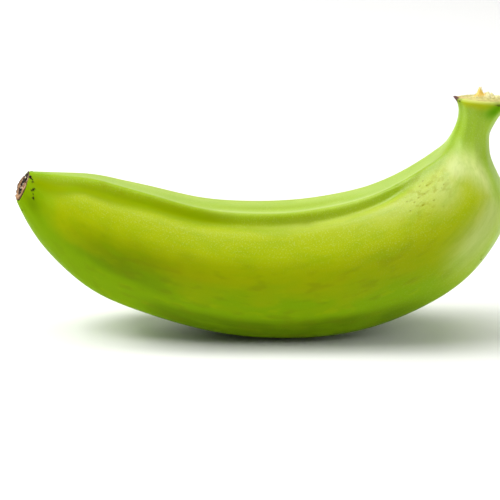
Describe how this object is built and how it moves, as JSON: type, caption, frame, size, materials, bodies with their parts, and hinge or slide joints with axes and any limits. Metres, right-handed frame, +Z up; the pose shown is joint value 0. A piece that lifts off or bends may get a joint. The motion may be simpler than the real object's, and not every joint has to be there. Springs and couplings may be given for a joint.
{
  "type": "green plantain",
  "caption": "Whole unripe plantain: a plump curved fruit with soft lengthwise ridges, a corky blossom tip and a flared, cut stem.",
  "frame": {"origin": "centre of the bounding box at its base, on the surface that the fruit rests on", "axes": "+X along the chord of the arc from the blossom tip to the stem, +Z up, -Y to the front"},
  "size_m": [0.191, 0.0534, 0.0976],
  "materials": {
    "peel": "smooth waxy peel, yellow-green body going to pure green at both ends, soft gloss",
    "cork": "dry brown corky blossom scar, rough and matt",
    "stem_flesh": "moist cream-yellow fibres of the cut stem, torn in the middle"
  },
  "bodies": {
    "root": {"plantain": "peel"}
  },
  "joints": []
}
